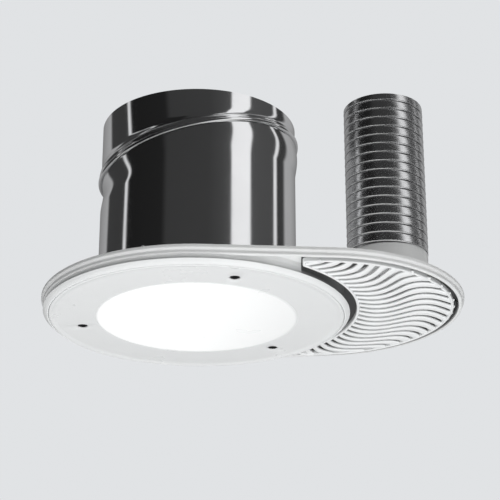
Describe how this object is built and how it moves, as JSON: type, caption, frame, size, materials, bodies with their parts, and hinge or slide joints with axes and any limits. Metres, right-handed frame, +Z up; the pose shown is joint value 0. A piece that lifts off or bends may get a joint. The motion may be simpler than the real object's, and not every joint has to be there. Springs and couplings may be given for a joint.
{
  "type": "tubular skylight ceiling fitting with air vent",
  "caption": "Round light-tube diffuser and crescent air-extract grille in one ceiling flange, with a swivel light tube and a ribbed duct above.",
  "frame": {"origin": "on the light tube's axis in the ceiling plane, which is the top of the flange's rim and seal", "axes": "+Z up along the light tube, +X from the light tube towards the air duct, XZ is the plane that both axes lie in"},
  "size_m": [0.536, 0.3934, 0.2952],
  "materials": {
    "white_plastic": "satin white moulded plastic",
    "opal_lens": "opal acrylic, lit from above",
    "clear_lens": "clear acrylic",
    "mirror_tube": "mirror-finished aluminium sheet",
    "duct_foil": "ribbed aluminium strip",
    "foam_seal": "closed-cell foam",
    "dark_screw": "blackened steel",
    "bright_steel": "zinc-plated steel"
  },
  "bodies": {
    "fitting": {"air_box": "white_plastic", "air_box_screw_1": "bright_steel", "air_box_screw_2": "bright_steel", "air_box_screw_3": "bright_steel", "air_duct": "duct_foil", "ceiling_flange": "white_plastic", "ceiling_screw_1": "bright_steel", "ceiling_screw_2": "bright_steel", "ceiling_screw_3": "bright_steel", "ceiling_screw_4": "bright_steel", "ceiling_seal": "foam_seal", "diffuser_gasket": "foam_seal", "diffuser_lens": "opal_lens", "diffuser_ring": "white_plastic", "diffuser_screw_1": "dark_screw", "diffuser_screw_2": "dark_screw", "diffuser_screw_3": "dark_screw", "inner_lens": "clear_lens", "inner_lens_seal": "foam_seal", "tube_seal": "foam_seal"},
    "lower_tube": {"lower_tube": "mirror_tube"},
    "upper_tube": {"upper_tube": "mirror_tube"},
    "damper": {"damper_flap": "white_plastic", "damper_pin": "bright_steel"},
    "grille": {"vent_grille": "white_plastic", "grille_clip_1": "bright_steel", "grille_clip_2": "bright_steel", "grille_clip_3": "bright_steel"}
  },
  "joints": [
    {"name": "tube_turn", "type": "hinge", "parent": "fitting", "child": "lower_tube", "pos_m": [0, 0, 0], "axis": [0, 0, 1], "continuous": true},
    {"name": "elbow_swivel", "type": "hinge", "parent": "lower_tube", "child": "upper_tube", "pos_m": [0, 0, 0.19], "axis": [-0.2164, 0, 0.9763], "continuous": true},
    {"name": "damper_hinge", "type": "hinge", "parent": "fitting", "child": "damper", "pos_m": [0.237, 0, 0.052], "axis": [0, -1, 0], "range_deg": [0, 75]},
    {"name": "grille_release", "type": "slide", "parent": "fitting", "child": "grille", "axis": [0, 0, -1], "range_m": [0, 0.06]}
  ]
}
